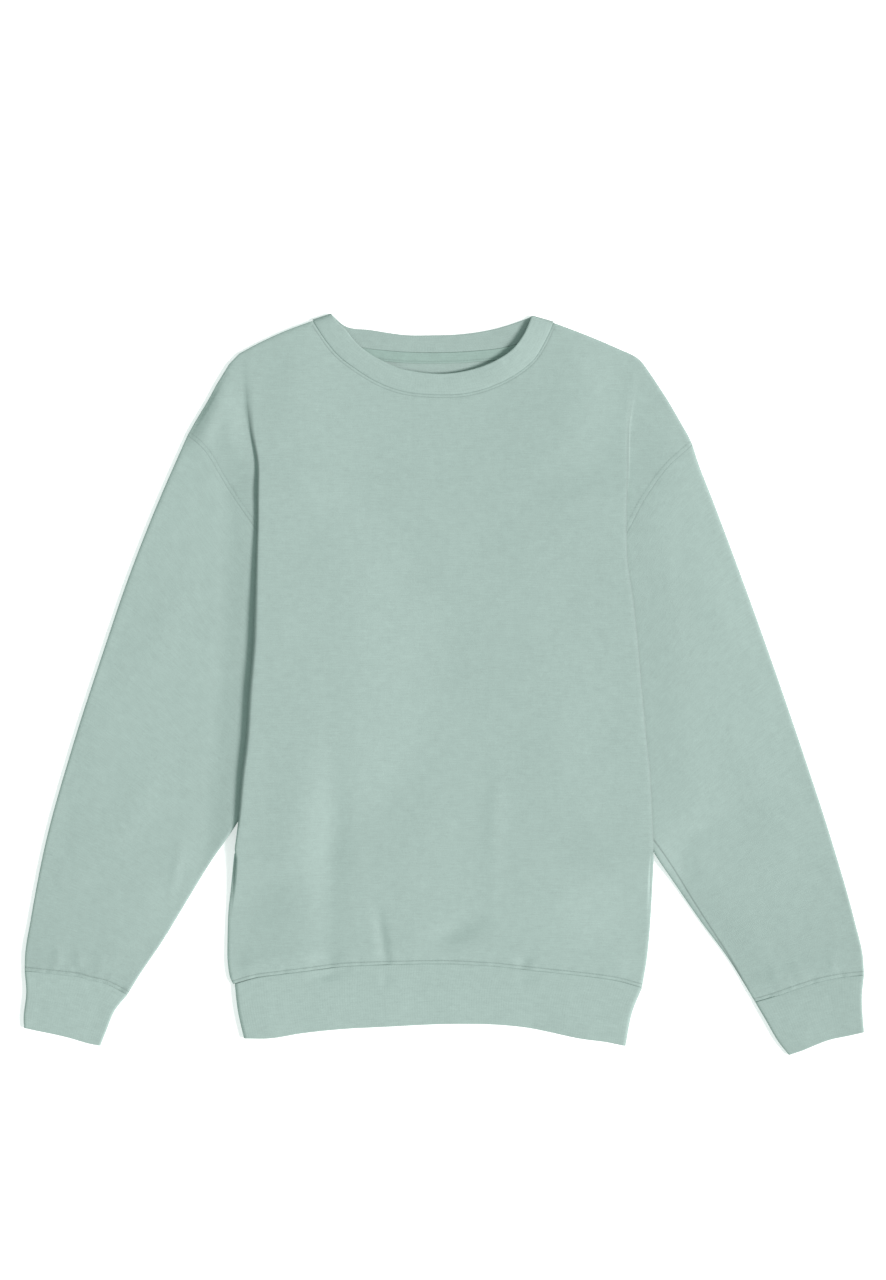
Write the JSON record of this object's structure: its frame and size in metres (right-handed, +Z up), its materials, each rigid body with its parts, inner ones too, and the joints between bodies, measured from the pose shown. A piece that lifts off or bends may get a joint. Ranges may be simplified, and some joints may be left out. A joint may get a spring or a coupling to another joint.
{
  "type": "crewneck sweatshirt",
  "caption": "Crewneck fleece sweatshirt laid flat, sleeves turned down beside the body, with rib neckband, cuffs and hem.",
  "frame": {"origin": "on the surface it lies on, under the middle of the garment's box", "axes": "+Z up out of the front, +Y from hem to neck, +X across from cuff to cuff"},
  "size_m": [0.8061, 0.7119, 0.0168],
  "materials": {
    "fleece": "sage green brushed-back fleece, smooth jersey face with a faint heather",
    "rib": "matching fine rib knit, doubled",
    "tape": "matching self-fabric neck tape"
  },
  "bodies": {
    "root": {"front_panel": "fleece", "back_panel": "fleece", "sleeve_left": "fleece", "sleeve_right": "fleece", "neckband": "rib", "hem_band": "rib", "cuff_left": "rib", "cuff_right": "rib", "neck_tape": "tape"}
  },
  "joints": []
}
